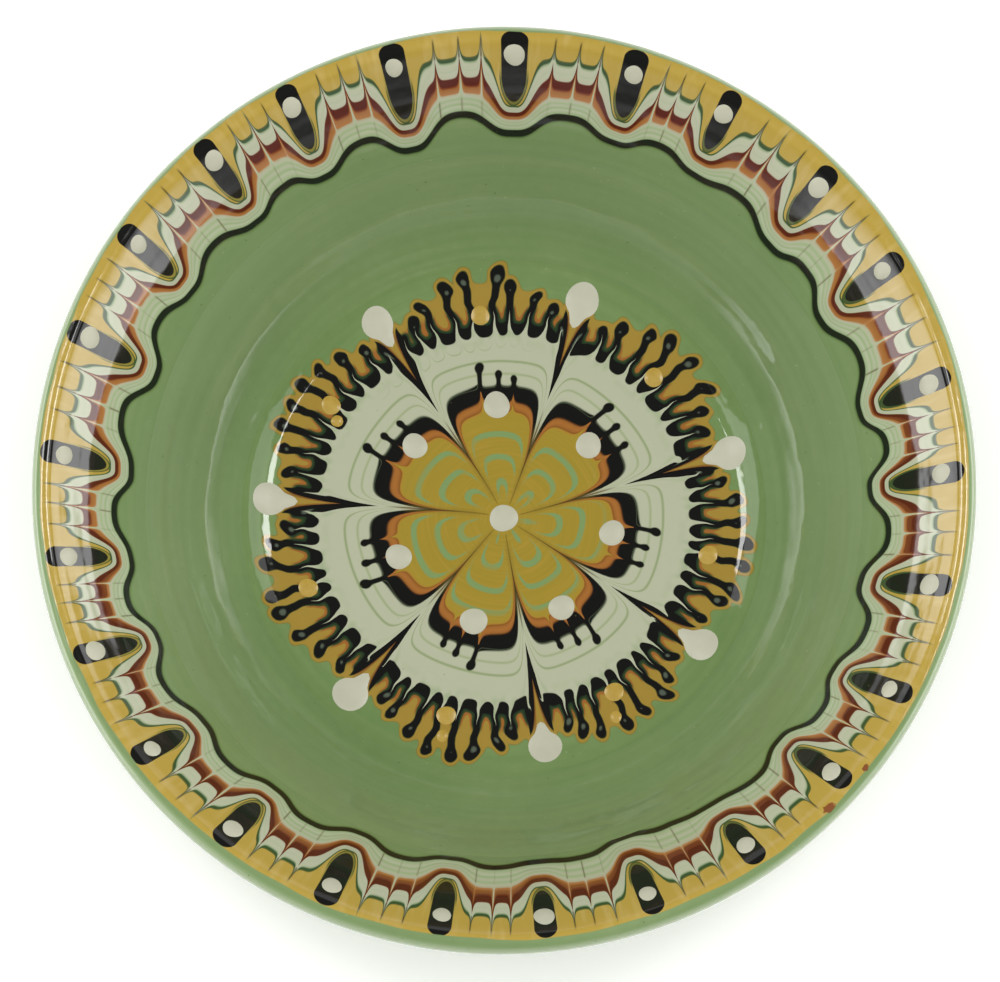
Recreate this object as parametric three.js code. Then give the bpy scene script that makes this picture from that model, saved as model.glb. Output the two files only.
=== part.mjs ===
// A hand-thrown, slip-decorated earthenware bowl-plate on a foot ring.
// Millimetres, +Z up. The origin is the middle of the foot's resting face.
//
// The red clay body and its foot ring carry four coats of coloured slip: the outside coat, the
// green field, the marbled rim band and the marbled medallion. Drops of slip stand on those coats.
import * as THREE from 'three';

// Driving dimensions
const RIM_RADIUS = 100;         // outermost point of the lip
const FLOOR_HEIGHT = 11.3;      // visible floor at the centre, above the resting face
// Where the section turns from floor to wall, steepens, and flares to the rim: distance from
// the axis, how gradual the turn is, and the rise per millimetre that it adds
const BENDS = [
  { at: 53, reach: 3.5, rise: 0.5 },
  { at: 65.5, reach: 6, rise: 0.8 },
  { at: 87, reach: 4, rise: -0.36 },
];
const LIP_THICKNESS = 5;        // the wall's thickness at the lip, which is a full round
const FLOOR_THICKNESS = 5.8;    // the wall's thickness on the axis

const SLIP = 0.6;               // thickness of each coat of slip
const GAP = 0.3;                // clearance between touching pieces
const DROP_GAP = 0.45;          // and under the drops, whose facets are coarser

const FOOT_OUTER = 51;
const FOOT_INNER = 43.5;
const FOOT_CHAMFER = 1;

const BAND_START = 76.9;        // inner edge of the rim band, on the wall
const COATS_MEET = 55;          // degrees round the lip at which the rim band meets the outside coat
const PETALS = 7;
const PETAL_TIP = 55;           // outline of the medallion, at the middle of a petal
const PETAL_NOTCH = 42;         // and at the strokes between petals
const OUTSIDE_COAT_END = 51;    // where the outside coat stops, measured on the inner face above it

const EYE_COUNT = 25;
const EYE_RADIUS = 93.4;        // circle of the rim drops
const EYE_START = 1.7;          // degrees
const RING_SHIFT = [-0.4, 0.8]; // how far the rim and petal drops' circles are off centre
// How far each hand-placed rim eye strays from even spacing, degrees
const EYE_DRIFT = [
  0, -2.5, -0.5, -1, 0.5, -1, 0.5, 2, 2, 0, 0.5, 0, 1.5,
  0.5, -1, -0.5, 0, 0.5, 1, 0, -0.5, -0.5, 0, -1, -0.5,
];
// The strokes that part the petals, and the middle of each petal, degrees
const STROKE_ANGLES = [16, 70.5, 122.5, 175.5, 229.5, 280, 327];
const PETAL_ANGLES = [41, 93.5, 140.5, 200.5, 254, 302.5, 352];
const PETAL_DROP_RADIUS = 24.3;
const GAP_DROP_RADIUS = 51.2;   // the drops at the outer ends of the strokes
// Amber drops in the fringe: one to a petal, with a second drop beside three of them
const AMBER_RADIUS = 45.2;
const AMBER_ANGLES = [43.5, 96.5, 146.5, 200, 254, 302, 349.5];
const SECOND_AMBER = [
  { petal: 2, turn: 3, out: -3 }, { petal: 4, turn: 0.5, out: 4.6 },
  { petal: 5, turn: -3, out: 5 },
];

const SEGMENTS = 56;            // facets round every coat, a multiple of 4 and of the petals
// Distances from the axis at which the section has a corner: close together in the bend
const STATIONS = [24, 36, 44, 48.5, 51, 53, 55, 58, 62, 65.5, 69, 73, 79, 84, 87, 90];

const rad = THREE.MathUtils.degToRad;

// ---- the section of the bowl ----

const RIM_PITCH = Math.atan(BENDS.reduce((sum, { rise }) => sum + rise, 0));

function bend(r) {
  const one = ({ at, reach, rise }) => rise / 2 * (r - at + Math.hypot(r - at, reach));
  return BENDS.reduce((sum, turn) => sum + one(turn), 0);
}

function faceHeight(r) {
  return FLOOR_HEIGHT + bend(r) - bend(0);
}

function faceSlope(r) {
  const one = ({ at, reach, rise }) => rise / 2 * (1 + (r - at) / Math.hypot(r - at, reach));
  return Math.atan(BENDS.reduce((sum, turn) => sum + one(turn), 0));
}

// The lip is a half circle whose flank runs on from the inner face.
const LIP = LIP_THICKNESS / 2;
const FACE_END = RIM_RADIUS - LIP - LIP * Math.sin(RIM_PITCH);
const LIP_SLOPE = faceSlope(FACE_END);
const LIP_HEIGHT = faceHeight(FACE_END) - LIP * Math.cos(LIP_SLOPE);

// A point under the inner face: r is where on the face, depth is how far below it. The face is
// level on the axis.
function under(r, depth) {
  const a = r > 0 ? faceSlope(r) : 0;
  return new THREE.Vector2(r + depth * Math.sin(a), faceHeight(r) - depth * Math.cos(a));
}

// The same for a point above or below any plan position
function overFace(plan, depth) {
  const r = plan.length();
  const p = under(r, depth);
  const scale = r > 0 ? p.x / r : 1;
  return new THREE.Vector3(plan.x * scale, plan.y * scale, p.y);
}

function thickness(r) {
  return THREE.MathUtils.lerp(FLOOR_THICKNESS, LIP_THICKNESS, r / FACE_END);
}

function steps(from, to, count) {
  return Array.from({ length: count + 1 }, (_, i) => from + (to - from) * i / count);
}

// The inner face from one distance out to another, and the outer face from one in to another
function innerFace(from, to, depth) {
  const between = STATIONS.filter((r) => r > from + 1 && r < to - 1);
  return [from, ...between, to].map((r) => under(r, depth));
}

function outerFace(from, to, depth) {
  const between = STATIONS.filter((r) => r < from - 1 && r > to + 1).reverse();
  return [from, ...between, to].map((r) => under(r, thickness(r) - depth));
}

function lipArc(fromDegrees, toDegrees, count, depth) {
  const size = LIP - depth;
  return steps(rad(fromDegrees), rad(toDegrees), count).map((a) => new THREE.Vector2(
    RIM_RADIUS - LIP + size * Math.cos(a), LIP_HEIGHT + size * Math.sin(a)));
}

const LIP_FROM = 90 + THREE.MathUtils.radToDeg(LIP_SLOPE);
const LIP_TO = LIP_FROM - 180;

// ---- solids ----

function turned(profile, closed) {
  const points = closed ? [...profile, profile[0]] : profile;
  const geometry = new THREE.LatheGeometry(points, SEGMENTS);
  geometry.rotateX(Math.PI / 2);
  return geometry;
}

// Joins two stacks of rings into one closed body. Each stack runs outwards from its first ring.
function closedBody(top, bottom, count) {
  const position = [];
  const index = [];
  const add = (ring) => ring.map((p) => position.push(p.x, p.y, p.z) / 3 - 1);
  const rings = [...top, ...[...bottom].reverse()].map(add);
  const loops = rings.length;
  for (let k = 0; k < loops; k += 1) {
    const a = rings[k];
    const b = rings[(k + 1) % loops];
    for (let i = 0; i < count; i += 1) {
      const j = (i + 1) % count;
      if (a.length === 1 && b.length === 1) continue;
      if (a.length === 1) index.push(a[0], b[i], b[j]);
      else if (b.length === 1) index.push(a[i], b[0], a[j]);
      else index.push(a[i], b[i], b[j], a[i], b[j], a[j]);
    }
  }
  const geometry = new THREE.BufferGeometry();
  geometry.setAttribute('position', new THREE.Float32BufferAttribute(position, 3));
  geometry.setIndex(index);
  return geometry;
}

// A coat of slip lying on the inner face between two outlines, each a function of the angle
function coat(innerEdge, outerEdge, shares) {
  const ring = (share, depth) => steps(0, 2 * Math.PI, SEGMENTS).slice(0, SEGMENTS).map((a) => {
    const r = THREE.MathUtils.lerp(innerEdge(a), outerEdge(a), share);
    return overFace(new THREE.Vector2(r * Math.cos(a), r * Math.sin(a)), depth);
  });
  const stack = (depth) => shares.map((s) => {
    const points = ring(s, depth);
    return innerEdge(0) === 0 && s === 0 ? [points[0]] : points;
  });
  return closedBody(stack(0), stack(SLIP), SEGMENTS);
}

// The scalloped outline of the medallion: a sine arch between each two strokes
function petalOutline(angle) {
  const turn = THREE.MathUtils.euclideanModulo(THREE.MathUtils.radToDeg(angle), 360);
  const first = THREE.MathUtils.euclideanModulo(
    STROKE_ANGLES.findIndex((a) => a > turn) - 1, PETALS + 1);
  const from = STROKE_ANGLES[Math.min(first, PETALS - 1)];
  const to = STROKE_ANGLES[(Math.min(first, PETALS - 1) + 1) % PETALS];
  const width = THREE.MathUtils.euclideanModulo(to - from, 360);
  const along = THREE.MathUtils.euclideanModulo(turn - from, 360) / width;
  return PETAL_NOTCH + (PETAL_TIP - PETAL_NOTCH) * Math.sqrt(Math.sin(Math.PI * along));
}

// A drop of slip that stands on the inner face, with an optional tail towards the axis
function drop(radius, angle, size, height, tail = 0, sides = 8) {
  const a = rad(angle);
  const outward = new THREE.Vector2(Math.cos(a), Math.sin(a));
  const ring = (share, rise) => steps(0, 2 * Math.PI, sides).slice(0, sides).map((turn) => {
    const reach = size * share * (1 + tail * Math.max(0, -Math.cos(turn)) ** 8);
    const across = new THREE.Vector2(-outward.y, outward.x).multiplyScalar(reach * Math.sin(turn));
    const along = outward.clone().multiplyScalar(radius + reach * Math.cos(turn));
    return overFace(along.add(across), -DROP_GAP - rise);
  });
  const top = [[ring(0, height)[0]], ring(0.6, height * 0.8), ring(1, height * 0.2)];
  const bottom = [[ring(0, 0)[0]], ring(0.95, 0)];
  return closedBody(top, bottom, sides);
}

// ---- the object ----

const plate = new THREE.Group();

function piece(name, geometry, color, roughness) {
  const material = new THREE.MeshStandardMaterial({ color, roughness, metalness: 0 });
  const mesh = new THREE.Mesh(geometry, material);
  mesh.name = name;
  plate.add(mesh);
  return mesh;
}

const COLOURS = {
  clay: 0xa5603c, green: 0x7f9c62, marbled: 0xb99a45, cream: 0xd9d6bb, amber: 0xb78a28,
};
const GLAZED = 0.1;
const BARE = 0.8;

const UNDER_SLIP = SLIP + GAP;

function clayBody() {
  return turned([
    ...innerFace(0, FACE_END, UNDER_SLIP),
    ...lipArc(LIP_FROM, LIP_TO, 6, UNDER_SLIP).slice(1),
    ...outerFace(FACE_END, 0, UNDER_SLIP).slice(1),
  ].reverse(), false);
}

function footRing() {
  const top = steps(FOOT_INNER, FOOT_OUTER, 3).map(
    (r) => under(r - 0.5, thickness(r) - UNDER_SLIP + GAP));
  return turned([
    new THREE.Vector2(FOOT_INNER, FOOT_CHAMFER),
    new THREE.Vector2(FOOT_INNER + FOOT_CHAMFER, 0),
    new THREE.Vector2(FOOT_OUTER - FOOT_CHAMFER, 0),
    new THREE.Vector2(FOOT_OUTER, FOOT_CHAMFER),
    ...top.reverse(),
  ], true);
}

function outsideCoat() {
  const skin = (depth) => [
    ...lipArc(COATS_MEET, LIP_TO, 5, depth),
    ...outerFace(FACE_END, OUTSIDE_COAT_END, depth).slice(1),
  ];
  return turned([...skin(SLIP), ...skin(0).reverse()], true);
}

function rimBand() {
  const meet = COATS_MEET + THREE.MathUtils.radToDeg(GAP / LIP);
  const skin = (depth) => [
    ...innerFace(BAND_START, FACE_END, depth),
    ...lipArc(LIP_FROM, meet, 2, depth).slice(1),
  ];
  return turned([...skin(SLIP), ...skin(0).reverse()], true);
}

piece('clay_body', clayBody(), COLOURS.clay, BARE);
piece('foot_ring', footRing(), COLOURS.clay, BARE);
piece('outside_slip_coat', outsideCoat(), COLOURS.green, GLAZED);
piece('rim_band_slip', rimBand(), COLOURS.marbled, GLAZED);
piece('field_slip_coat', coat((a) => petalOutline(a) + GAP, () => BAND_START - GAP,
  [0, 0.1, 0.2, 0.3, 0.4, 0.52, 0.66, 0.82, 1]), COLOURS.green, GLAZED);
piece('medallion_slip', coat(() => 0, petalOutline, [0, 0.4, 0.65, 0.8, 0.87, 0.94, 1]),
  COLOURS.marbled, GLAZED);

// Distance from the axis, at an angle, of a circle that is off centre by RING_SHIFT
function offCentre(radius, angle) {
  const a = rad(angle);
  return radius + RING_SHIFT[0] * Math.cos(a) + RING_SHIFT[1] * Math.sin(a);
}

const number = (i) => String(i + 1).padStart(2, '0');

EYE_DRIFT.forEach((drift, i) => {
  const angle = EYE_START + i * 360 / EYE_COUNT + drift;
  const solid = drop(offCentre(EYE_RADIUS, angle), angle, 2.2, 0.5);
  piece(`rim_drop_${number(i)}`, solid, COLOURS.cream, GLAZED);
});

piece('centre_drop', drop(0, 0, 3.1, 0.5), COLOURS.cream, GLAZED);
PETAL_ANGLES.forEach((angle, i) => {
  const solid = drop(offCentre(PETAL_DROP_RADIUS, angle), angle, 3, 0.5);
  piece(`petal_drop_${number(i)}`, solid, COLOURS.cream, GLAZED);
});
STROKE_ANGLES.forEach((angle, i) => {
  const solid = drop(GAP_DROP_RADIUS, angle, 3.9, 0.6, 0.3, 12);
  piece(`gap_drop_${number(i)}`, solid, COLOURS.cream, GLAZED);
});
AMBER_ANGLES.forEach((angle, i) => {
  piece(`amber_drop_${number(i)}`, drop(AMBER_RADIUS, angle, 2.1, 0.4), COLOURS.amber, GLAZED);
});
SECOND_AMBER.forEach(({ petal, turn, out }) => {
  const angle = AMBER_ANGLES[petal] + turn;
  const solid = drop(AMBER_RADIUS + out, angle, 1.3, 0.4);
  piece(`amber_second_drop_${number(petal)}`, solid, COLOURS.amber, GLAZED);
});

export default plate;
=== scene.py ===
"""Looks of a slip-decorated earthenware bowl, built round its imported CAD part.

The bowl's visible skin is one turned surface. It is cut into the pieces that the CAD model names:
the clay body and foot ring, the outside coat, the green field, the rim band and the medallion.
Drops of slip stand on it where the CAD model puts them.

Lengths are millimetres until vertices are made, when MM turns them into metres.
"""

import math

import bpy
import numpy as np
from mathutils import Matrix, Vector


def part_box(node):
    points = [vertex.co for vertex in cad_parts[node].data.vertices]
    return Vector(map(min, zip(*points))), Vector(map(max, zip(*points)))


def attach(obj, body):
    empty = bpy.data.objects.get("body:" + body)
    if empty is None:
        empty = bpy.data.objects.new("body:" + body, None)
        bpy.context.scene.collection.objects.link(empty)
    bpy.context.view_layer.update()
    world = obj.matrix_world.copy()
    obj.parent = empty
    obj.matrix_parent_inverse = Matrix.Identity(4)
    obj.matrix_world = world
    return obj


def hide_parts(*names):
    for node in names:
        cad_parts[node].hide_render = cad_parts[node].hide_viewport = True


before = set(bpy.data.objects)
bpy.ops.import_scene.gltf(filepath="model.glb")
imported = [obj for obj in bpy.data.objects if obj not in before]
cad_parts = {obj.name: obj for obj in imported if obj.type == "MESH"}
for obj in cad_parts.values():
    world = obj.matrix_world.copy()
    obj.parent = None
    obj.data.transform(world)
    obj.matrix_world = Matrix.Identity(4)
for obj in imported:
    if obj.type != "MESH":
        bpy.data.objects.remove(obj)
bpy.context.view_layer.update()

MM = 0.001

# ---------------------------------------------------------------------------------------------
# The section of the bowl, as in the CAD model
# ---------------------------------------------------------------------------------------------

RIM_RADIUS = 100.0
FLOOR_HEIGHT = 11.3       # of the visible floor on the axis, above the resting face
LIP = 2.5                 # radius of the half round lip
FLOOR_THICKNESS = 5.8
SLIP = 0.6                # thickness of each coat

# Where the section turns: distance from the axis, how gradually, and the climb per mm it adds
BENDS = [(53.0, 3.5, 0.5), (65.5, 6.0, 0.8), (87.0, 4.0, -0.36)]

MEDALLION_EDGE = 57.0     # where the floor's coat meets the wall's
BAND_START = 76.9         # where the wall's coat meets the rim band
COATS_MEET = math.radians(55)    # where the rim band meets the outside coat, round the lip
OUTSIDE_COAT_END = 51.2   # where the outside coat stops, measured on the inner face above it
FOOT_OUTER = 51.0
FOOT_INNER = 43.5


def bend(r):
    return sum(climb / 2 * (r - at + np.hypot(r - at, reach)) for at, reach, climb in BENDS)


def face_height(r):
    return FLOOR_HEIGHT + bend(r) - bend(0.0)


def face_slope(r):
    return np.arctan(sum(climb / 2 * (1 + (r - at) / np.hypot(r - at, reach))
                         for at, reach, climb in BENDS))


RIM_PITCH = math.atan(sum(climb for _, _, climb in BENDS))
FACE_END = RIM_RADIUS - LIP - LIP * math.sin(RIM_PITCH)
LIP_SLOPE = float(face_slope(FACE_END))
LIP_HEIGHT = float(face_height(FACE_END)) - LIP * math.cos(LIP_SLOPE)


def under(r, depth):
    """A point (distance from the axis, height) at a depth under the inner face."""
    a = face_slope(r) * np.clip(np.asarray(r) / 8, 0, 1)
    return np.stack([r + depth * np.sin(a), face_height(r) - depth * np.cos(a)], -1)


def thickness(r):
    return FLOOR_THICKNESS + (2 * LIP - FLOOR_THICKNESS) * r / FACE_END


def lip_arc(start, end, count, depth=0.0):
    """Points round the lip, at a depth under its skin."""
    a = np.linspace(start, end, count)
    size = LIP - depth
    return np.stack([RIM_RADIUS - LIP + size * np.cos(a), LIP_HEIGHT + size * np.sin(a)], -1)


# The lip's half circle, from the inner face to the outer one
LIP_FROM = math.pi / 2 + LIP_SLOPE
LIP_TO = LIP_FROM - math.pi

# ---------------------------------------------------------------------------------------------
# Turned meshes
# ---------------------------------------------------------------------------------------------

SEGMENTS = 512


def hand_thrown(points):
    """The small drift of a bowl that was thrown and turned by hand, growing towards the rim."""
    x, y, z = points[..., 0], points[..., 1], points[..., 2]
    a = np.arctan2(y, x)
    share = np.clip(np.hypot(x, y) / RIM_RADIUS, 0, 1) ** 2
    out = 1 + share * (0.0016 * np.sin(2 * a + 0.7) + 0.0009 * np.sin(3 * a + 2.1))
    up = share * (0.28 * np.sin(2 * a + 1.9) + 0.16 * np.sin(5 * a + 0.4))
    return np.stack([x * out, y * out, z + up], -1)


def throwing_rings(points):
    """Shallow rings left by the potter's fingers, a fraction of a millimetre deep."""
    r, z = points[:, 0], points[:, 1]
    along = np.hypot(r, z * 1.3)
    wave = 0.05 * np.sin(along * 0.55) + 0.035 * np.sin(along * 1.13 + 1.0)
    return np.stack([r, z + wave * np.clip(r / 12, 0, 1)], -1)


def spin(profile):
    """Rows of points round the axis: one row for each profile point."""
    a = np.linspace(0, 2 * math.pi, SEGMENTS, endpoint=False)
    r, z = profile[:, :1], profile[:, 1:]
    level = np.broadcast_to(z, (len(profile), SEGMENTS))
    return hand_thrown(np.stack([r * np.cos(a), r * np.sin(a), level], -1))


def row_normals(rows):
    """Which way is out, at each point of rows that run from the axis outwards."""
    along = np.gradient(rows, axis=0)
    around = np.roll(rows, -1, axis=1) - np.roll(rows, 1, axis=1)
    n = np.cross(along, around)
    length = np.linalg.norm(n, axis=-1, keepdims=True)
    n = n / np.maximum(length, 1e-9)
    flat = length[..., 0] < 1e-9
    n[flat] = (0, 0, 1)
    return n


def mesh_object(name, vertices, faces, normals=None):
    mesh = bpy.data.meshes.new(name)
    mesh.from_pydata((vertices * MM).tolist(), [], faces)
    mesh.polygons.foreach_set("use_smooth", [True] * len(mesh.polygons))
    mesh.update()
    if normals is not None:
        mesh.normals_split_custom_set_from_vertices(normals.tolist())
    item = bpy.data.objects.new(name, mesh)
    bpy.context.scene.collection.objects.link(item)
    return item


def ring_faces(loops, closed):
    """Quads between neighbouring rows of vertex numbers; a row of one vertex is a pole."""
    faces = []
    pairs = list(zip(loops, loops[1:])) + ([(loops[-1], loops[0])] if closed else [])
    for a, b in pairs:
        count = max(len(a), len(b))
        for i in range(count):
            j = (i + 1) % count
            if len(a) == 1 and len(b) == 1:
                continue
            if len(a) == 1:
                faces.append((a[0], b[j], b[i]))
            elif len(b) == 1:
                faces.append((a[i], a[j], b[0]))
            else:
                faces.append((a[i], a[j], b[j], b[i]))
    return faces


def turned_solid(name, rows, normals=None):
    """A closed body from rows of points that run round its section. Rows on the axis are poles."""
    vertices, loops, shading = [], [], []
    for k, row in enumerate(rows):
        pole = np.hypot(row[0, 0], row[0, 1]) < 1e-6
        points = row[:1] if pole else row
        loops.append(list(range(len(vertices), len(vertices) + len(points))))
        vertices.extend(points.tolist())
        if normals is not None:
            shading.extend(normals[k][: len(points)].tolist())
    faces = ring_faces(loops, closed=len(loops[0]) > 1)
    given = np.array(shading) if normals is not None else None
    return mesh_object(name, np.array(vertices), faces, given)


# The whole skin, from the middle of the floor over the lip and down to the foot, and the same
# skin one coat deeper. Each coat of slip is a stretch of it, between two of these rows.
FLOOR_ROWS, WALL_ROWS, BAND_ROWS, OUTSIDE_ROWS = 62, 23, 21, 61
LIP_IN_ROWS, LIP_OUT_ROWS = 9, 11
ROW_FIELD = FLOOR_ROWS
ROW_BAND = ROW_FIELD + WALL_ROWS
ROW_OUTSIDE = ROW_BAND + BAND_ROWS + LIP_IN_ROWS
ROW_END = ROW_OUTSIDE + LIP_OUT_ROWS + OUTSIDE_ROWS

INNER_STATIONS = np.concatenate([
    [0.0], np.linspace(0.6, MEDALLION_EDGE, FLOOR_ROWS),
    np.linspace(MEDALLION_EDGE, BAND_START, WALL_ROWS + 1)[1:],
    np.linspace(BAND_START, FACE_END, BAND_ROWS + 1)[1:],
])
OUTER_STATIONS = np.linspace(FACE_END, OUTSIDE_COAT_END, OUTSIDE_ROWS + 1)[1:]


def skin(depth):
    inner = under(INNER_STATIONS, depth)
    inner[0, 0] = 0.0
    arc_in = lip_arc(LIP_FROM, COATS_MEET, LIP_IN_ROWS + 1, depth)[1:]
    arc_out = lip_arc(COATS_MEET, LIP_TO, LIP_OUT_ROWS + 1, depth)[1:]
    outer = under(OUTER_STATIONS, thickness(OUTER_STATIONS) - depth)
    return np.concatenate([inner, arc_in, arc_out, outer])


TOP = spin(throwing_rings(skin(0.0)))
BELOW = spin(throwing_rings(skin(SLIP)))
NORMALS = row_normals(TOP)
BELOW_STEP = 6            # the hidden underside of a coat needs fewer rows


def coat(name, first, last):
    """One coat of slip: the skin's rows from first to last, closed underneath."""
    top = list(range(last, first - 1, -1))
    below = sorted({*range(first, last + 1, BELOW_STEP), last})
    rows = [TOP[i] for i in top] + [BELOW[i] for i in below]
    shading = [NORMALS[i] for i in top] + [-NORMALS[i] for i in below]
    return turned_solid(name, rows, shading)


def clay_rows():
    """The clay body: a coat's thickness inside the skin all over, floor, wall and lip."""
    inner = under(np.linspace(FACE_END, 0, 40), SLIP)
    stations = np.linspace(0, FACE_END, 60)
    outer = under(stations, thickness(stations) - SLIP)
    inner[-1, 0] = 0.0
    outer[0, 0] = 0.0
    arc = lip_arc(LIP_TO, LIP_FROM, 16, SLIP)[1:-1]
    return spin(np.concatenate([outer, arc, inner]))


def foot_rows():
    """The foot ring: a trimmed ring with softened edges that runs up into the body."""
    top_inner = under(FOOT_INNER - 1.8, thickness(FOOT_INNER) - SLIP)
    top_outer = under(FOOT_OUTER + 0.3, thickness(FOOT_OUTER))
    section = [
        (FOOT_INNER - 0.9, top_inner[1] + 0.3), (FOOT_INNER - 0.35, 5.6), (FOOT_INNER, 3.6),
        (FOOT_INNER + 0.1, 1.4), (FOOT_INNER + 0.45, 0.5), (FOOT_INNER + 1.2, 0.06),
        (FOOT_INNER + 2.4, 0.0), (FOOT_OUTER - 2.6, 0.0), (FOOT_OUTER - 1.3, 0.07),
        (FOOT_OUTER - 0.5, 0.5), (FOOT_OUTER - 0.12, 1.4), (FOOT_OUTER, 3.4),
        (FOOT_OUTER + 0.05, 4.6), (FOOT_OUTER + 0.25, 5.6), (FOOT_OUTER + 1.1, top_outer[1] - 0.3),
        (FOOT_OUTER + 1.2, top_outer[1] + 0.6), (FOOT_INNER + 3.5, top_inner[1] + 1.2),
    ]
    return spin(resampled(np.array(section), 90))


def resampled(section, count):
    """The same closed outline with its corners rounded by even resampling."""
    loop = np.vstack([section, section[:1]])
    length = np.concatenate([[0], np.cumsum(np.hypot(*np.diff(loop, axis=0).T))])
    at = np.linspace(0, length[-1], count, endpoint=False)
    return np.stack([np.interp(at, length, loop[:, 0]), np.interp(at, length, loop[:, 1])], -1)


# ---------------------------------------------------------------------------------------------
# Shader-node arithmetic: a Number wraps a socket, and + - * / and the functions add nodes
# ---------------------------------------------------------------------------------------------


class Number:
    """An output socket in the node tree that is being filled, which tree names."""

    tree = None

    def __init__(self, socket):
        self.socket = socket

    def __add__(self, other):
        return math_node("ADD", self, other)

    def __radd__(self, other):
        return math_node("ADD", other, self)

    def __sub__(self, other):
        return math_node("SUBTRACT", self, other)

    def __rsub__(self, other):
        return math_node("SUBTRACT", other, self)

    def __mul__(self, other):
        return math_node("MULTIPLY", self, other)

    def __rmul__(self, other):
        return math_node("MULTIPLY", other, self)

    def __truediv__(self, other):
        return math_node("DIVIDE", self, other)

    def __rtruediv__(self, other):
        return math_node("DIVIDE", other, self)

    def __neg__(self):
        return math_node("MULTIPLY", self, -1.0)


def feed(socket, value):
    """Link a Number to a socket, or set a plain value on it."""
    if isinstance(value, Number):
        Number.tree.links.new(value.socket, socket)
    else:
        socket.default_value = value


def math_node(operation, *values):
    node = Number.tree.nodes.new("ShaderNodeMath")
    node.operation = operation
    for socket, value in zip(node.inputs, values):
        feed(socket, value)
    return Number(node.outputs[0])


def power(a, b):
    return math_node("POWER", a, b)


def sqrt(a):
    return math_node("SQRT", a)


def exp(a):
    return math_node("EXPONENT", a)


def absolute(a):
    return math_node("ABSOLUTE", a)


def floor(a):
    return math_node("FLOOR", a)


def fract(a):
    return math_node("FRACT", a)


def nearest(a):
    return math_node("ROUND", a)


def sine(a):
    return math_node("SINE", a)


def lower(a, b):
    return math_node("MINIMUM", a, b)


def higher(a, b):
    return math_node("MAXIMUM", a, b)


def blend_lower(a, b, reach):
    """The lower of two, with a rounded join."""
    return math_node("SMOOTH_MIN", a, b, reach)


def clamp(x, low=0.0, high=1.0):
    return higher(lower(x, high), low)


def rise(x, start, end):
    """0 at start and before it, 1 at end and past it, smooth between. It may run downwards."""
    node = Number.tree.nodes.new("ShaderNodeMapRange")
    node.interpolation_type = "SMOOTHSTEP"
    feed(node.inputs["Value"], x)
    feed(node.inputs["From Min"], start)
    feed(node.inputs["From Max"], end)
    return Number(node.outputs["Result"])


def mix(a, b, share):
    return a + (b - a) * share


def curve(x, points):
    """Straight lines through (x, value) points, for x from 0 to 1."""
    values = [v for _, v in points]
    low, span = min(values), max(max(values) - min(values), 1e-9)
    node = Number.tree.nodes.new("ShaderNodeFloatCurve")
    line = node.mapping.curves[0]
    while len(line.points) < len(points):
        line.points.new(0.5, 0.5)
    for point, (at, value) in zip(line.points, points):
        point.location = (at, (value - low) / span)
        point.handle_type = "VECTOR"
    node.mapping.update()
    feed(node.inputs["Value"], x)
    return Number(node.outputs["Value"]) * span + low


def noise(x, y, z=0.0, detail=0.0):
    """Smooth noise between about -1 and 1."""
    point = Number.tree.nodes.new("ShaderNodeCombineXYZ")
    for socket, value in zip(point.inputs, (x, y, z)):
        feed(socket, value)
    node = Number.tree.nodes.new("ShaderNodeTexNoise")
    node.inputs["Scale"].default_value = 1.0
    node.inputs["Detail"].default_value = detail
    Number.tree.links.new(point.outputs[0], node.inputs["Vector"])
    return (Number(node.outputs["Fac"]) - 0.5) * 2.6


def linear(code):
    """A slip's colour from its hex code, as the linear red, green, blue that shaders use."""
    parts = [int(code[i:i + 2], 16) / 255 for i in (0, 2, 4)]
    return tuple(c / 12.92 if c <= 0.04045 else ((c + 0.055) / 1.055) ** 2.4 for c in parts)


class Colour:
    """A colour from a node's socket, or a plain one."""

    def __init__(self, socket=None, value=None):
        self.socket = socket
        self.value = value

    def into(self, socket):
        if self.socket is None:
            socket.default_value = (*self.value, 1.0)
        else:
            Number.tree.links.new(self.socket, socket)


def colour(code):
    return Colour(value=linear(code))


def paint(under_colour, over_colour, amount):
    """One colour laid over another, as far as amount (0 to 1) says."""
    node = Number.tree.nodes.new("ShaderNodeMix")
    node.data_type = "RGBA"
    feed(node.inputs[0], amount)
    under_colour.into(node.inputs[6])
    over_colour.into(node.inputs[7])
    return Colour(socket=node.outputs[2])


def ramp(x, stops):
    """The colour at x of a row of (place, hex code) stops, from 0 to 1."""
    node = Number.tree.nodes.new("ShaderNodeValToRGB")
    elements = node.color_ramp.elements
    while len(elements) < len(stops):
        elements.new(0.5)
    for element, (at, code) in zip(elements, stops):
        element.position = at
        element.color = (*linear(code), 1.0)
    feed(node.inputs[0], x)
    return Colour(socket=node.outputs[0])


# ---------------------------------------------------------------------------------------------
# Slips
# ---------------------------------------------------------------------------------------------

WHITE = "B2B59B"
RIM_AMBER = "AE9442"
CORE_AMBER = "9E872F"
FRINGE_AMBER = "9C8136"
ORANGE = "96602C"
MAROON = "541B0A"
BLACK = "131311"
DEEP_GREEN = "344C2A"
PALE_GREEN = "93A47E"
SAGE = "708952"
TURQUOISE = "7A945E"
OLIVE = "66652C"

PATTERN_SCALE = 0.992     # the patterns are drawn for a rim a little wider than RIM_RADIUS
RING_SHIFT = (-0.4, 0.8)  # how far the rim band is off centre


def vary(index, rate):
    """A number from -1 to 1 that differs from one index to the next."""
    return fract(index * rate + 0.37) * 2 - 1


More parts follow.
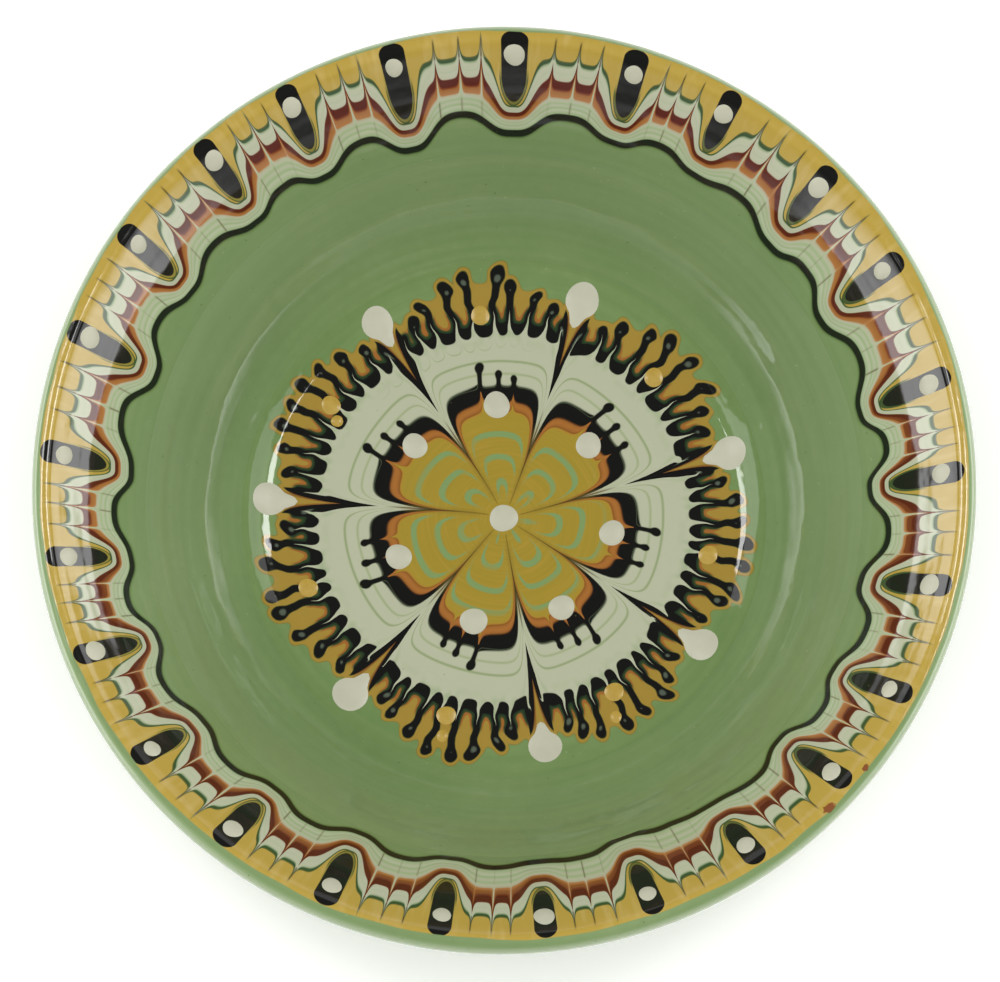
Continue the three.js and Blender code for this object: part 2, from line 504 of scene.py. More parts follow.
def round_curve(turn, degrees, values):
    """A value that runs through the given ones, once round the bowl."""
    points = sorted((a / 360, v) for a, v in zip(degrees, values))
    gap = points[0][0] + 1 - points[-1][0]
    seam = points[-1][1] + (points[0][1] - points[-1][1]) * (1 - points[-1][0]) / gap
    return curve(turn, [(0, seam)] + points + [(1, seam)])


def ring_noise(at, across, around, seed=0.0, detail=0.0):
    """Noise in ring coordinates, with no seam: cells per mm across, cells per turn around."""
    reach = around / (2 * math.pi)
    return noise(at.cos * reach, at.sin * reach, at.r * across + seed, detail)


def green_slip(at):
    """Sage green, brushed round on the wheel: soft rings, paler and olive patches, pinholes,
    painted haze up the wall and a painted highlight along the lip.
    """
    rings = noise(at.cos * 1.1, at.sin * 1.1, at.r * 0.42 + at.z * 0.35, 2.0)
    patch = noise(at.x * 0.03, at.y * 0.03, at.z * 0.03 + 4.0, 2.0)
    mottle = noise(at.x * 0.42, at.y * 0.42, at.z * 0.42, 2.0)
    tone = clamp(0.5 + rings * 0.2 + patch * 0.22 + mottle * 0.1)
    green = ramp(tone, [(0.0, "5E7840"), (0.35, "6B8550"), (0.6, "748C57"), (1.0, "8A9C70")])
    pin = noise(at.x * 1.3, at.y * 1.3, at.z * 1.3 + 9.0)
    # Paler up the wall: painted haze that stands in for light reflected in the glaze
    green = paint(green, colour("9DAF8A"), rise(at.r, 58.0, 74.0) * 0.16)
    # Paler along the lip's edge: a painted highlight
    green = paint(green, colour("A3B48D"), rise(at.r, 98.2, 99.6) * 0.6)
    green = paint(green, colour("B4B894"), rise(pin, 0.9, 1.05) * 0.35)
    return paint(green, colour("3E4A26"), rise(pin, -0.86, -1.05) * 0.5)


# The rim band. Its layers of slip are told by depth, the distance in from the edge of the amber
# at the lip. Each cream eye near the lip drags a tongue through them with a pointed brush, and
# three strokes of a comb between two eyes drag them back out.
AMBER_EDGE = 98.6
EYE_SPACING = 23.6
COMB_PITCH = 4.6
TONGUE_WIDTH = 2.5        # half of it
TONGUE_TAPER = 4.6        # length of a tongue's rounded inner end
# How deep a tongue reaches, and how much deeper each one does
TONGUE_DEPTH = 13.3
TONGUE_EXTRA = [1, 1, 0, -0.5, -1.5, -0.5, 0, 1, 0, 0, 0, 0.5, 0, -0.5, 0.5, -1, -0.5, 0, 0, -2,
                -0.5, -2, 0.5, 0, 0.5]
# How far the layers sag towards the wall, round the band
SAG_ANGLES = [8, 37, 66, 96, 125, 168, 209, 239, 269, 297, 311, 326, 347]
SAG_DEPTHS = [0, 1.5, 0, 0, 1.2, 0, -0.3, 1, 2.5, 3.4, 1, 0, -0.4]

# Borders between layers: depth midway between eyes, depth past an eye's tip, width of the loop
# round the tongue, how square the loop is, and the share of the local sag it takes
BORDERS = [
    (5.2, 0.6, 3.9, 3.6, 0.0),
    (8.9, 1.7, 4.7, 3.3, 0.1),
    (11.9, 2.9, 5.5, 3.0, 0.3),
    (14.5, 4.4, 6.4, 2.9, 0.6),
    (15.65, 5.45, 6.7, 2.9, 0.6),
]
LIP_CHIPS = [(314.6, 1.1), (321.4, 0.7)]    # degrees and size
CHIP_RADIUS = 98.9
# The layers' colours, a fifth of the way for each stretch between borders
BAND_LAYERS = [
    (0.0, RIM_AMBER), (0.003, OLIVE), (0.018, DEEP_GREEN), (0.04, DEEP_GREEN),
    (0.056, PALE_GREEN), (0.072, WHITE), (0.118, WHITE), (0.13, "A9B296"), (0.142, WHITE),
    (0.192, WHITE), (0.198, "9A7A62"), (0.204, MAROON), (0.285, MAROON), (0.305, "7C3A1A"),
    (0.32, ORANGE), (0.378, "A8703C"), (0.396, "B0AE90"), (0.42, WHITE), (0.45, "9DB084"),
    (0.48, WHITE), (0.515, "98AD80"), (0.54, "B4BA9E"), (0.592, "9CB084"), (0.6, "5A6A4C"),
    (0.615, "141912"), (0.785, "141912"), (0.8, "3C4F2C"), (0.83, SAGE), (1.0, SAGE),
]


def rim_band_colour(at):
    turn = at.turn
    r = (at.r - at.cos * RING_SHIFT[0] - at.sin * RING_SHIFT[1]) / PATTERN_SCALE
    count = len(EYE_ANGLES)
    first = EYE_ANGLES[0]
    around = fract(turn - first / 360)
    steps = [((a - first) / 360, i / count) for i, a in enumerate(EYE_ANGLES)]
    u = curve(around, steps + [(1, 1)]) * count
    eye, cell = nearest(u), floor(u)
    eye_number = eye - count * floor(eye / count)
    x_eye = absolute(u - eye) * EYE_SPACING
    x_mid = (fract(u) - 0.5) * EYE_SPACING
    depth = AMBER_EDGE - r + ring_noise(at, 0.1, 70) * 0.22

    # Three comb strokes to a cell
    shifted = x_mid + 0.6 - 0.5 * vary(cell, 0.618) - depth * 0.03
    tooth = clamp(nearest(shifted / COMB_PITCH), -1.0, 1.0)
    stroke = cell * 3 + tooth
    x_comb = absolute(shifted - tooth * COMB_PITCH - vary(stroke, 0.381) * 0.25)
    cut = rise(x_eye, 3.2, 4.0) * rise(depth, 20.0, 16.0)
    fade = rise(depth, 13.2, 8.5)
    drag = exp(-(x_comb / 0.26)) * 3.9 + exp(-(x_comb / 0.7)) * 0.5
    pulled = depth + drag * (1 + 0.3 * vary(stroke, 0.731)) * cut * fade

    sag = round_curve(turn, SAG_ANGLES, SAG_DEPTHS)
    extra = curve(eye_number / count, [(i / count, v) for i, v in enumerate(TONGUE_EXTRA)])
    reach = extra + TONGUE_DEPTH
    stretch = 1 + 0.12 * vary(eye_number, 0.77)
    drift = [0.12 * vary(cell, 0.29), 0.3 * vary(cell, 0.83), 0.3 * vary(cell, 0.47) + sag * 0.2,
             sag, sag]
    borders = []
    for (flat, past, width, square, own), shift in zip(BORDERS, drift):
        loop = exp(-power(x_eye / width, square))
        borders.append(mix(flat + shift, reach + past * stretch + sag * own, loop))
    layer = clamp((pulled - borders[-1]) / 2.0)
    for a, b in zip(borders, borders[1:]):
        layer = layer + clamp((pulled - a) / (b - a))
    band = ramp(layer / len(BORDERS), BAND_LAYERS)

    # In places the maroon runs on over most of the orange
    browner = rise(layer, 1.4, 1.5) * rise(layer, 1.84, 1.72)
    browner = browner * clamp(ring_noise(at, 0.0, 9, 2.5) * 3 - at.sin * 1.2)
    band = paint(band, colour("6A3018"), browner * 0.9)

    # Paler and warmer streaks in the amber, and the dark hairlines that the comb left in it
    amber = rise(depth, borders[0] + 0.2, borders[0] - 0.2)
    streak = ring_noise(at, 0.12, 300, 5.0, 1.0)
    band = paint(band, colour("BFA868"), clamp(streak * 0.7) * amber)
    line = exp(-(x_comb / 0.2) * (x_comb / 0.2)) * cut
    hair = line * rise(depth, 0.6, 2.2) * rise(depth, borders[0] + 0.3, borders[0] - 0.3)
    band = paint(band, colour("453A1A"), hair * 0.85)
    inner_hair = line * rise(depth, borders[2] + 0.2, borders[2] + 0.8) * rise(layer, 3.1, 2.9)
    band = paint(band, colour("6A6648"), inner_hair * (0.55 + 0.4 * vary(stroke, 0.29)))

    # The black tongue, edged with dark green or olive
    inner_end = higher(depth - (reach - TONGUE_TAPER), 0.0) / TONGUE_TAPER
    tip = inner_end + higher(2.2 - depth, 0.0) / 2.3
    side = x_eye / (TONGUE_WIDTH + 0.2 * vary(eye_number, 0.91) - depth * 0.012)
    tongue = (sqrt(side * side + tip * tip) - 1) * TONGUE_WIDTH
    band = paint(band, colour(DEEP_GREEN), rise(tongue, 0.5, 0.36) * rise(depth, 7.0, 9.5))
    olive = rise(tongue, 0.34, 0.2) * rise(depth, 4.0, 7.0) * clamp(0.55 - 0.5 * at.cos)
    band = paint(band, colour("8F8238"), olive)
    band = paint(band, colour(BLACK), rise(tongue, 0.06, -0.06))
    speck = noise(at.x * 1.7, at.y * 1.7, at.z * 1.7)
    band = paint(band, colour("6E6A40"), rise(speck, 0.95, 1.1) * 0.5)

    # The green of the lip runs over the outer edge, which is chipped to the clay in two places
    lip = depth + ring_noise(at, 0.0, 60, 3.0) * 0.25 + rise(at.cos, 0.2, 0.95)
    green = rise(lip, 0.12, -0.12) + rise(layer, 4.15, 4.3)
    band = paint(band, green_slip(at), clamp(green))
    for chip_angle, size in LIP_CHIPS:
        along = (turn * 360 - chip_angle) * 1.7
        across = r - CHIP_RADIUS
        reach = sqrt(along * along * 0.5 + across * across) + speck * 0.35
        band = paint(band, colour("7A3D25"), rise(reach, size, size * 0.7) * 0.9)
    return band


# The medallion. Long strokes from the gaps between petals to the middle drag its rings inwards,
# and three short strokes in each petal drag them outwards and end in knobs.
PETAL_ARC = math.radians(360 / 7)
STROKE_BEND = [-4, -3, -11, -8, 0, -3, 3]    # how far each long stroke curves, degrees
BLACK_RING = 29.3         # outer edge of the black ring, where the knobs start
SPIRAL_PITCH = 5.0
TEETH = 10                # combed stems of the fringe, to a petal
RAMP_REACH = 55.0         # distance from the axis that CORE_RINGS covers
CORE_RINGS = [
    (0, CORE_AMBER), (0.424, CORE_AMBER), (0.43, "A97C30"), (0.434, "7C4C1E"),
    (0.439, ORANGE), (0.452, "A46A30"), (0.466, ORANGE), (0.47, "5A3418"), (0.474, BLACK),
    (0.533, BLACK), (0.537, "5A6650"), (0.541, WHITE), (0.58, WHITE), (0.584, "98A47C"),
    (0.588, "98A47C"), (0.592, WHITE), (0.63, WHITE), (0.635, "8B9A6E"), (0.639, "8B9A6E"),
    (0.644, WHITE), (1, WHITE),
]
# Knobs: share of the petal's arc, height over the black ring, size of the head
KNOBS = [(0.29, 2.0, 0.62), (0.44, 2.7, 0.66), (0.59, 4.2, 0.85)]
# What lies outwards of the black: green, orange and amber between stems, amber round their heads
FRINGE_EDGE = [
    (0, BLACK), (0.25, BLACK), (0.28, "1E2A1B"), (0.38, "2A4026"), (0.43, "4C4A24"),
    (0.47, ORANGE), (0.55, ORANGE), (0.6, FRINGE_AMBER), (1, FRINGE_AMBER),
]
STEM_EDGE = [
    (0, BLACK), (0.25, BLACK), (0.29, "26301C"), (0.33, "5C5426"), (0.37, FRINGE_AMBER),
    (1, FRINGE_AMBER),
]


def medallion_colour(at):
    turn = at.turn
    count = len(STROKE_ANGLES)
    first = STROKE_ANGLES[0]
    r = at.r / PATTERN_SCALE + ring_noise(at, 0.12, 12, 2.0) * 0.3
    bend_here = round_curve(turn, STROKE_ANGLES, STROKE_BEND) / 360
    angle = fract(turn - bend_here * (9 / (r + 4) - 0.16) - first / 360)
    steps = [((a - first) / 360, i / count) for i, a in enumerate(STROKE_ANGLES)]
    v = curve(angle, steps + [(1, 1)]) * count
    petal, q = floor(v), fract(v)
    off = absolute(v - nearest(v)) * PETAL_ARC * r
    source = r + exp(-(off / 1.05)) * 13

    lift, knobs = None, None
    for i, (share, height, size) in enumerate(KNOBS):
        x = (q - share - 0.014 * vary(petal + i * 0.3, 0.618)) * PETAL_ARC * 31
        top = BLACK_RING + height + 0.4 * vary(petal * 3 + i, 0.31)
        up = exp(-(absolute(x) / 0.34)) * (1.9 + 0.5 * i)
        if i == 2:
            up = up + exp(-(higher(x, 0.0) / 1.7)) * rise(x, -0.2, 0.2) * 1.2
        lean = x + higher(source - BLACK_RING, 0.0) * (0.10 * (i - 0.5))
        neck = higher(absolute(lean) - 0.42, source - top)
        bulb = sqrt(lean * lean + (source - top) * (source - top) * 0.6) - size
        knob = blend_lower(blend_lower(neck, bulb, 0.6), source - 29.2, 1.6)
        lift = up if lift is None else lift + up
        knobs = knob if knobs is None else lower(knobs, knob)
    core = source - lift * rise(source, 21.5, 25.0) * rise(source, 31.2, 29.4)
    picture = ramp(core / RAMP_REACH, CORE_RINGS)

    # Amber: brushed streaks, and turns of a turquoise spiral
    streak = ring_noise(at, 1.6, 7, 5.0, 1.0)
    inner = rise(source, 23.5, 22.5)
    picture = paint(picture, colour("B3913F"), clamp(streak) * 0.5 * inner)
    picture = paint(picture, colour("8E8030"), clamp(-streak) * 0.5 * inner)
    wound = fract(source / SPIRAL_PITCH - turn - 0.02 + 0.04 * vary(petal, 0.43))
    coil = absolute(wound - 0.5) * SPIRAL_PITCH
    arcs = rise(coil, 0.85, 0.4) * rise(off, 0.7, 2.0) * rise(source, 4.0, 5.5)
    arcs = arcs * rise(source, 23.0, 21.0) * (1.1 + 0.8 * ring_noise(at, 0.5, 9, 6.0))
    picture = paint(picture, colour(TURQUOISE), clamp(arcs))
    stroke = rise(off, 0.2, 0.06) * rise(r, 2.5, 4.5) * rise(r, 27.0, 22.0)
    shade = rise(off, 1.1, 0.1) * rise(r, 3.0, 8.0) * rise(r, 24.0, 20.0)
    picture = paint(picture, colour("84702A"), shade * 0.45)
    picture = paint(picture, colour("4A3418"), stroke * (0.45 + 0.35 * rise(r, 8.0, 12.0)))
    picture = paint(picture, colour("48503A"), rise(knobs, 0.22, 0.02) * rise(source, 28.9, 29.3))
    picture = paint(picture, colour(BLACK), rise(knobs, 0.07, -0.07) * rise(source, 28.5, 28.9))

    # Fringe: ten combed stems to a petal run out into the amber, and white points lie between
    cells = q * TEETH
    stems, line, spots = None, None, None
    for side in (0, 1):
        tooth = floor(cells - 0.5) + side
        key = tooth + petal * TEETH
        x = (cells - tooth - 0.5 - 0.16 * vary(key, 0.618)) * 4.0
        fan = 0.05 + 0.08 * vary(key, 0.291) - 0.26 * (tooth / TEETH - 0.4)
        hook = (0.45 - tooth / TEETH) * 0.14 + 0.05 * vary(key, 0.53)
        x = x + (source - 43) * fan + noise(source * 0.3, key * 0.7, 4.0) * 0.65
        x = x + power(higher(source - 46.5, 0.0), 1.5) * hook
        ax = absolute(x)
        tip = 45.6 + 8.0 * power(sine(clamp((tooth + 0.5) / TEETH) * math.pi), 1.6)
        past = source - (tip + 0.8 * vary(key, 0.83))
        bulb = sqrt(x * x + past * past * 0.45) - 1.02 - 0.2 * vary(key, 0.47)
        spot = sqrt(x * x + (past + 0.7) * (past + 0.7) * 0.6) + 0.3 * vary(key, 0.19)
        stem = blend_lower(higher(ax - 0.6, past), bulb, 0.9)
        point = exp(-(ax / 0.6)) * 2.4 + exp(-(ax / 0.24)) * 3.4
        stems = stem if stems is None else blend_lower(stems, stem, 0.8)
        line = point if line is None else line + point
        spots = spot if spots is None else lower(spots, spot)
    pocket = source - 43.2 - 0.5 * noise(cells * 1.3, petal * 3.7, 1.0)
    beside = higher(off - 2.6, (source - 49.3) * 0.6)
    shape = blend_lower(blend_lower(stems, pocket, 1.7), beside, 1.0)
    wide = rise(source, 48.0, 44.5)
    spread = (shape * (1 - 0.45 * wide) + 0.5) / 2
    edge_layers = paint(ramp(spread, STEM_EDGE), ramp(spread, FRINGE_EDGE),
                        rise(source, 48.2, 46.4))
    pale = clamp(noise(cells * 2.2, source * 0.35, 7.0) + 0.15) * rise(source, 38.0, 41.0)
    picture = paint(picture, colour(PALE_GREEN), pale * 0.8)
    speck = noise(at.x * 1.7, at.y * 1.7, at.z * 1.7)
    picture = paint(picture, colour("6E6A40"), rise(speck, 0.95, 1.1) * 0.5)
    warm = rise(off, 2.4, 0.9) * rise(source, 48.8, 49.4) * rise(source, 52.5, 50.0)
    edge_layers = paint(edge_layers, colour("7A4A22"), warm * 0.8)
    edge_layers = paint(edge_layers, colour("7C8A76"), rise(spots, 0.5, 0.05) * 0.4)
    echo = absolute(line * 0.75 + 37.6 + ring_noise(at, 0.3, 30, 9.0) * 0.5 - source)
    echoes = rise(echo, 0.26, 0.08) * clamp(ring_noise(at, 0.0, 5, 4.0) * 2.5)
    picture = paint(picture, colour("93A07A"), echoes * 0.7)
    picture = paint(edge_layers, picture, rise(line + 40.5 - source, -0.14, 0.14))

    arch = power(sine(q * math.pi), 1.6)
    outline = r - (48.2 + 4.4 * arch) + ring_noise(at, 0.2, 40, 1.0) * 0.5
    edge = blend_lower(outline, shape - 0.75, 2.4)
    picture = paint(picture, colour("5E6A34"), rise(edge, -0.22, 0.0) * 0.7)
    return paint(picture, green_slip(at), rise(edge, -0.08, 0.08))


def cream_slip(at):
    """Thick cream slip, a little cloudy, with a few specks."""
    cloud = noise(at.x * 0.5, at.y * 0.5, at.z * 0.5, 2.0)
    cream = paint(colour("B6B5A1"), colour("BCBBA7"), clamp(cloud * 0.5 + 0.5))
    speck = noise(at.x * 2.4, at.y * 2.4, at.z * 2.4)
    return paint(cream, colour("7C7650"), rise(speck, 0.9, 1.1) * 0.5)


def amber_slip(at):
    """Amber slip, a little cloudy."""
    cloud = noise(at.x * 0.6, at.y * 0.6, at.z * 0.6, 2.0)
    return paint(colour("A68836"), colour("B99C4C"), clamp(cloud * 0.5 + 0.5))


# ---------------------------------------------------------------------------------------------
# Materials
# ---------------------------------------------------------------------------------------------


class Place:
    """Where a point is, in millimetres: plan, distance from the axis, turn round it, height."""

    def __init__(self, x, y, z, r, turn):
        self.x, self.y, self.z, self.r, self.turn = x, y, z, r, turn
        self.cos = x / (r + 0.001)
        self.sin = y / (r + 0.001)


def place():
    """The place of the point being shaded."""
    source = Number.tree.nodes.new("ShaderNodeTexCoord")
    parts = Number.tree.nodes.new("ShaderNodeSeparateXYZ")
    Number.tree.links.new(source.outputs["Object"], parts.inputs[0])
    x, y, z = (Number(out) / MM for out in parts.outputs)
    r = sqrt(x * x + y * y)
    turn = fract(math_node("ARCTAN2", y, x) / (2 * math.pi) + 1.0)
    return Place(x, y, z, r, turn)


def new_material(name):
    material = bpy.data.materials.new(name)
    material.use_nodes = True
    Number.tree = material.node_tree
    shader = next(n for n in material.node_tree.nodes if n.type == "BSDF_PRINCIPLED")
    return material, shader


def bump_into(shader, socket_name, height):
    """Bump a normal by a height in millimetres."""
    node = Number.tree.nodes.new("ShaderNodeBump")
    node.inputs["Strength"].default_value = 1.0
    node.inputs["Distance"].default_value = MM
    feed(node.inputs["Height"], height)
    Number.tree.links.new(node.outputs["Normal"], shader.inputs[socket_name])


def glaze_swell(at):
    """The slow unevenness of a thick glaze, in millimetres."""
    wide = noise(at.x * 0.07, at.y * 0.07, at.z * 0.07, 1.0)
    ring = noise(at.r * 0.32, at.cos * 1.6, at.sin * 1.6 + at.z * 0.11, 1.0)
    fine = noise(at.x * 0.6, at.y * 0.6, at.z * 0.6)
    return wide * 0.16 + ring * 0.05 + fine * 0.006


def glazed(name, slip_colour, gloss=1.0, coat_roughness=0.06, sheen=0.0):
    """Coloured slip under a clear, glossy, slightly uneven glaze."""
    material, shader = new_material(name)
    at = place()
    slip_colour(at).into(shader.inputs["Base Color"])
    shader.inputs["Roughness"].default_value = 0.42
    shader.inputs["Specular IOR Level"].default_value = sheen
    shader.inputs["Coat Weight"].default_value = gloss
    shader.inputs["Coat Roughness"].default_value = coat_roughness
    shader.inputs["Coat IOR"].default_value = 1.52
    bump_into(shader, "Coat Normal", glaze_swell(at))
    return material


def clay_material():
    """Bare red clay: blotches, turning rings and grog."""
    material, shader = new_material("fired_clay")
    at = place()
    blotch = noise(at.x * 0.12, at.y * 0.12, at.z * 0.12, 3.0)
    rings = noise(at.r * 2.2, at.z * 2.2, at.cos, 2.0)
    grain = noise(at.x * 3.1, at.y * 3.1, at.z * 3.1, 2.0)
    clay = paint(colour("9A5636"), colour("B4714C"), clamp(blotch * 0.5 + 0.5))
    clay = paint(clay, colour("7C4029"), clamp(rings * 0.35 + 0.1))
    clay = paint(clay, colour("C69A78"), rise(grain, 0.75, 1.2) * 0.6)
    clay.into(shader.inputs["Base Color"])
    shader.inputs["Roughness"].default_value = 0.78
    bump_into(shader, "Normal", rings * 0.08 + grain * 0.03)
    return material


# ---------------------------------------------------------------------------------------------
# Pieces
# ---------------------------------------------------------------------------------------------


def finish_piece(piece, material, slot, *nodes):
    piece.data.materials.append(material)
    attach(piece, "root")
    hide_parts(*nodes)


DROP_RINGS, DROP_SIDES = 12, 40
DROP_ROOT = 0.25          # how far a drop is sunk in the slip under it


def drop_mesh(name, centre_r, angle, size, height, tail=0.0, seed=0.0):
    """A drop of slip on the skin: a low dome with a rounded skirt, a little out of round.

    A tail draws it out towards the axis.
    """
    around = np.linspace(0, 2 * math.pi, DROP_SIDES, endpoint=False)
    steep = 0.5 + 0.5 * math.cos(float(face_slope(centre_r)))
    wander = 1 + 0.035 * np.sin(2 * around + seed) + 0.02 * np.sin(3 * around + seed * 1.7)
    pull_in = 1 + tail * np.maximum(0, -np.cos(around)) ** 22
    rows = []
    for k in range(DROP_RINGS + 1):
        share = math.sin(math.pi / 2 * k / DROP_RINGS)
        dome = height * (1 - share ** 2.6) if k < DROP_RINGS else 0.0
        rows.append((share, dome - 0.02))
    rows += [(0.9, -DROP_ROOT), (0.0, -DROP_ROOT)]
    loops, vertices = [], []
    for share, lift in rows:
        reach = size * share * wander * pull_in ** share ** 2
        px = centre_r + reach * np.cos(around) * steep
        py = reach * np.sin(around)
        if share == 0.0:
            px, py = px[:1], py[:1]
        r = np.hypot(px, py)
        skin_point = throwing_rings(under(r, 0.0))
        a = face_slope(r)
        rise_r, rise_z = -lift * np.sin(a), lift * np.cos(a)
        out = (skin_point[:, 0] + rise_r) / np.maximum(r, 1e-6)
        x, y = (px * out, py * out) if r.min() > 1e-3 else (px, py)
        turned = np.stack([x * math.cos(angle) - y * math.sin(angle),
                           x * math.sin(angle) + y * math.cos(angle),
                           skin_point[:, 1] + rise_z], -1)
        loops.append(list(range(len(vertices), len(vertices) + len(turned))))
        vertices.extend(hand_thrown(turned).tolist())
    faces = [tuple(reversed(f)) for f in ring_faces(loops, closed=False)]
    return mesh_object(name, np.array(vertices), faces)


def node_place(node):
    """Distance from the axis and angle of a CAD node's middle."""
    low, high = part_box(node)
    x, y = (low[0] + high[0]) / 2 / MM, (low[1] + high[1]) / 2 / MM
    return math.hypot(x, y), math.atan2(y, x)


def nodes_named(prefix):
    return sorted(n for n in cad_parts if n.startswith(prefix))


rim_nodes = nodes_named("rim_drop_")
petal_nodes = nodes_named("petal_drop_")
gap_nodes = nodes_named("gap_drop_")
amber_nodes = nodes_named("amber_drop_")
second_nodes = nodes_named("amber_second_drop_")

# The patterns follow the CAD model's drops: an eye in the rim band at each rim drop, and a
# stroke between two petals at each gap drop. In degrees.
EYE_ANGLES = [math.degrees(node_place(n)[1]) % 360 for n in rim_nodes]
STROKE_ANGLES = [math.degrees(node_place(n)[1]) % 360 for n in gap_nodes]

clay = clay_material()
band_glaze = glazed("rim_band_glaze", rim_band_colour, coat_roughness=0.1)
medallion_glaze = glazed("medallion_glaze", medallion_colour)
field_glaze = glazed("field_glaze", green_slip, sheen=0.45)
outside_glaze = glazed("outside_glaze", green_slip, sheen=0.45)
cream_glaze = glazed("cream_drop_glaze", cream_slip, 0.5, 0.3)
amber_glaze = glazed("amber_drop_glaze", amber_slip, 0.6, 0.2)

finish_piece(turned_solid("clay_wall", clay_rows()), clay, "fired_clay", "clay_body")
finish_piece(turned_solid("foot", foot_rows()), clay, "fired_clay", "foot_ring")
finish_piece(coat("medallion", 0, ROW_FIELD), medallion_glaze, "marbled_slip", "medallion_slip")
finish_piece(coat("green_field", ROW_FIELD, ROW_BAND), field_glaze, "green_slip",
             "field_slip_coat")
finish_piece(coat("marbled_rim_band", ROW_BAND, ROW_OUTSIDE), band_glaze, "marbled_slip",
             "rim_band_slip")
finish_piece(coat("outside_green", ROW_OUTSIDE, ROW_END), outside_glaze, "green_slip",
             "outside_slip_coat")

# Radii and heights of the drops
RIM_DROP, CENTRE_DROP, PETAL_DROP, GAP_DROP = 2.1, 3.1, 2.9, 3.75
AMBER_DROP, SECOND_AMBER_DROP = 2.15, 1.35
CREAM_HEIGHT, AMBER_HEIGHT = 0.3, 0.22
GAP_DROP_RADIUS = 51.2    # their distance from the axis, leaving out the tails
GAP_DROP_TAIL = 0.75

for i, node in enumerate(rim_nodes):
    size = RIM_DROP + 0.2 * math.sin(i * 2.4)
    piece = drop_mesh("cream_" + node, *node_place(node), size, CREAM_HEIGHT, seed=i)
    finish_piece(piece, cream_glaze, "cream_slip", node)

piece = drop_mesh("cream_centre", 0.0, 0.0, CENTRE_DROP, CREAM_HEIGHT, seed=1.0)
finish_piece(piece, cream_glaze, "cream_slip", "centre_drop")
for i, node in enumerate(petal_nodes):
    size = PETAL_DROP + 0.1 * math.sin(i * 2)
    piece = drop_mesh("cream_" + node, *node_place(node), size, CREAM_HEIGHT, seed=i)
    finish_piece(piece, cream_glaze, "cream_slip", node)
for i, node in enumerate(gap_nodes):
    size = GAP_DROP + 0.15 * math.sin(i * 2)
    angle = node_place(node)[1]
    piece = drop_mesh("cream_" + node, GAP_DROP_RADIUS, angle, size, CREAM_HEIGHT,
                      GAP_DROP_TAIL, i)
    finish_piece(piece, cream_glaze, "cream_slip", node)
for i, node in enumerate(amber_nodes + second_nodes):
    size = AMBER_DROP if node in amber_nodes else SECOND_AMBER_DROP
    piece = drop_mesh("slip_" + node, *node_place(node), size, AMBER_HEIGHT, seed=i)
    finish_piece(piece, amber_glaze, "amber_slip", node)

# ---------------------------------------------------------------------------------------------
# Studio
# ---------------------------------------------------------------------------------------------


def studio_floor():
    bpy.ops.mesh.primitive_plane_add(size=6.0, location=(0, 0, -0.0005))
    item = bpy.context.object
    item.name = "studio_floor"
    material, shader = new_material("studio_floor")
    at = place()
    grey = clamp(noise(at.x * 0.004, at.y * 0.004) * 0.5 + 0.5)
    paint(colour("F2F2F0"), colour("F6F6F4"), grey).into(shader.inputs["Base Color"])
    shader.inputs["Roughness"].default_value = 0.8
    shader.inputs["Emission Color"].default_value = (1.0, 1.0, 1.0, 1.0)
    shader.inputs["Emission Strength"].default_value = 0.3
    item.data.materials.append(material)


def softbox(name, place_m, size, watts, mirrored=True):
    """A rectangular light aimed at the bowl; unless mirrored, it casts no reflection."""
    light = bpy.data.lights.new(name, "AREA")
    light.shape = "RECTANGLE"
    light.size, light.size_y = size
    light.energy = watts
    item = bpy.data.objects.new(name, light)
    item.location = place_m
    item.rotation_euler = look_from(place_m, (0, 0, LIGHTS_AIM))
    item.visible_glossy = mirrored
    bpy.context.scene.collection.objects.link(item)


def on_dome(side, behind, zenith):
    """A place at a side of the room (-1 or 1), at an angle from straight overhead."""
    a = math.radians(zenith)
    return (side * LIGHTS_AWAY * math.sin(a), behind, LIGHTS_AIM + LIGHTS_AWAY * math.cos(a))


def look_from(eye, target):
    return (Vector(target) - Vector(eye)).to_track_quat("-Z", "Y").to_euler()


# In metres
LIGHTS_AIM = 0.03         # height that the lights aim at
LIGHTS_AWAY = 1.1
CAMERA_AWAY = 1.5
AIM_SIDE, AIM_UP = -0.0008, -0.0014    # how far the camera looks past the rim's middle

ELEVATION = math.radians(79.9)
SENSOR = 36               # mm
RIM_IN_FRAME = 0.944      # the rim's width as a share of the picture's


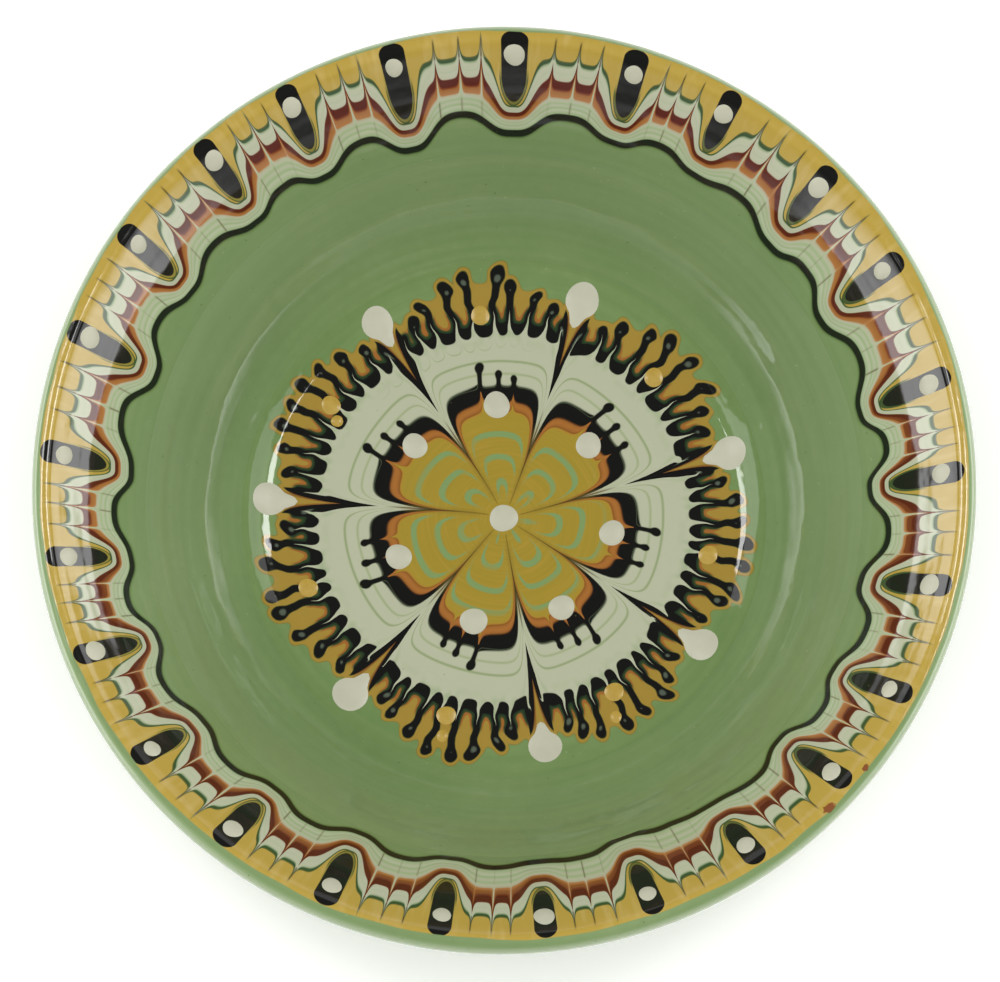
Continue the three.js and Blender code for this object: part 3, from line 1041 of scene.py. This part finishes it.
def camera():
    lens = bpy.data.cameras.new("camera")
    lens.sensor_width = SENSOR
    lens.lens = SENSOR * RIM_IN_FRAME * CAMERA_AWAY / (2 * RIM_RADIUS * MM)
    item = bpy.data.objects.new("camera", lens)
    back = (0.0, -math.cos(ELEVATION), math.sin(ELEVATION))
    up = (0.0, math.sin(ELEVATION), math.cos(ELEVATION))
    aim = (AIM_SIDE, AIM_UP * up[1], (LIP_HEIGHT + 1) * MM + AIM_UP * up[2])
    item.location = [a + CAMERA_AWAY * b for a, b in zip(aim, back)]
    item.rotation_euler = (math.pi / 2 - ELEVATION, 0, 0)
    bpy.context.scene.collection.objects.link(item)
    bpy.context.scene.camera = item


# Brightness of the room overhead, and what is added low down at its ends and its sides
ROOM_OVERHEAD = 0.09
ROOM_ENDS = 0.7
ROOM_SIDES = 3.8


def sky():
    """A pale room: bright low down at the sides, dark overhead where the camera hangs."""
    world = bpy.data.worlds.new("studio")
    bpy.context.scene.world = world
    world.use_nodes = True
    Number.tree = world.node_tree
    background = world.node_tree.nodes["Background"]
    source = world.node_tree.nodes.new("ShaderNodeTexCoord")
    parts = world.node_tree.nodes.new("ShaderNodeSeparateXYZ")
    world.node_tree.links.new(source.outputs["Generated"], parts.inputs[0])
    x, y, z = (Number(out) for out in parts.outputs)
    sideways = absolute(x) / sqrt(x * x + y * y + 0.0001)
    low = rise(z, 0.38, 0.12)
    level = ROOM_OVERHEAD + low * (ROOM_ENDS + rise(sideways, 0.72, 0.97) * ROOM_SIDES)
    grey = world.node_tree.nodes.new("ShaderNodeCombineColor")
    for socket in grey.inputs:
        feed(socket, level)
    world.node_tree.links.new(grey.outputs[0], background.inputs["Color"])


studio_floor()
camera()
sky()

# A strip and a dimmer, broader panel at each side, a little behind the bowl, where the camera
# in front sees them in the glaze, and a soft fill overhead that casts no reflection
softbox("left_strip", on_dome(-1, 0.19, 22), (0.24, 0.20), 1.7)
softbox("right_strip", on_dome(1, 0.14, 21), (0.22, 0.20), 1.8)
softbox("left_panel", on_dome(-1, 0.15, 37), (0.56, 0.30), 1.1)
softbox("right_panel", on_dome(1, 0.13, 37), (0.56, 0.30), 0.85)
softbox("fill", (0.0, -0.15, 1.3), (0.9, 0.9), 11.1, mirrored=False)
bpy.context.scene.view_settings.view_transform = "Standard"
